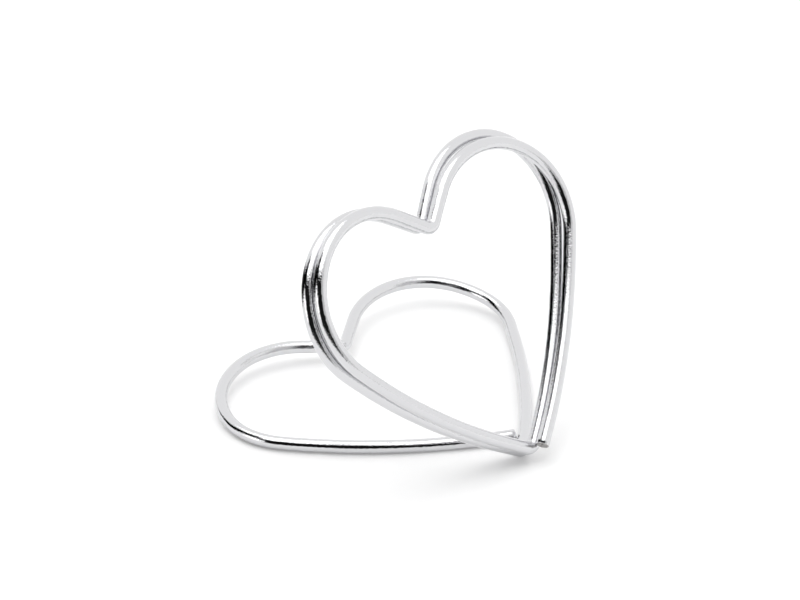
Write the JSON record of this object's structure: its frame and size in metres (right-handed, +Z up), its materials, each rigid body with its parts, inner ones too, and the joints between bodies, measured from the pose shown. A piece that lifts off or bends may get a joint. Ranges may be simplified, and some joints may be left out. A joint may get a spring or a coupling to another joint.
{
  "type": "place card holder",
  "caption": "Wire place card holder: a heart foot folds up into two standing hearts that pinch a card between them.",
  "frame": {"origin": "middle of the holder's outline, on the table under its foot", "axes": "+Z up from the table, +Y from the fold at the tip to the foot's lobes at the back, +X to the right as seen from the front"},
  "size_m": [0.047, 0.0411, 0.0339],
  "materials": {
    "bright_plated_wire": "bright plated steel wire, faintly drawn"
  },
  "bodies": {
    "holder": {"foot_heart": "bright_plated_wire", "heel_fold": "bright_plated_wire", "back_heart": "bright_plated_wire", "tip_turn": "bright_plated_wire"},
    "card_spring": {"front_heart": "bright_plated_wire"}
  },
  "joints": [
    {"name": "card_pinch", "type": "hinge", "parent": "holder", "child": "card_spring", "pos_m": [0.00013, -0.01825, 0.00211], "axis": [0.9935, 0.0769, 0.0836], "range_deg": [0, 3], "stiffness_Nm_per_rad": 0.12, "springref_deg": -2.01}
  ]
}
